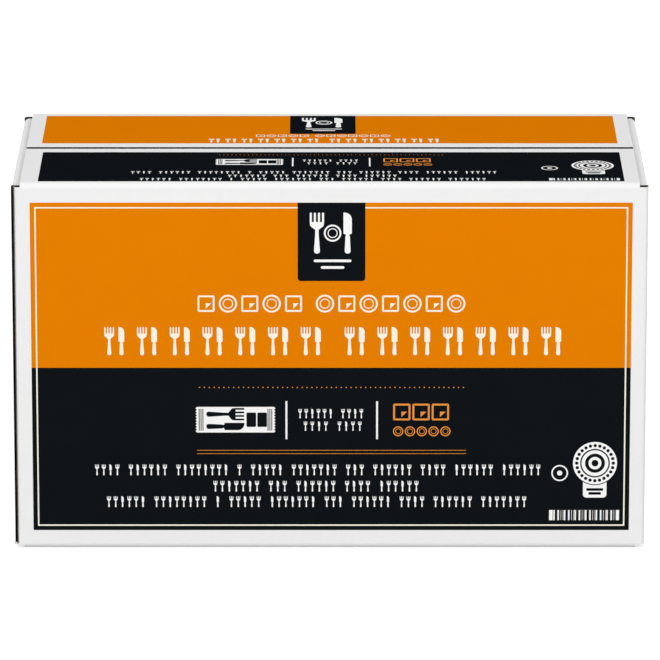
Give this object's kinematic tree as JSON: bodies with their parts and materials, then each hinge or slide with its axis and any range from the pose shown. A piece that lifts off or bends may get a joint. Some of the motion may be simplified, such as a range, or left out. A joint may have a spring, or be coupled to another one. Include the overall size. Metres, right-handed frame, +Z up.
{
  "type": "sealed carton of plastic cutlery packets",
  "caption": "Closed corrugated carton of wrapped plastic cutlery packets, with overlapping flaps, corner slots, centre seams and a glued corner joint.",
  "frame": {"origin": "middle of the base, on the surface that the carton stands on", "axes": "+X along the length to the right of the printed front, +Y towards the back, +Z up"},
  "size_m": [0.4064, 0.1966, 0.2433],
  "materials": {
    "printed_board": "smooth white-faced corrugated board, printed in orange and black on the front and top"
  },
  "bodies": {
    "root": {"carton": "printed_board"}
  },
  "joints": []
}
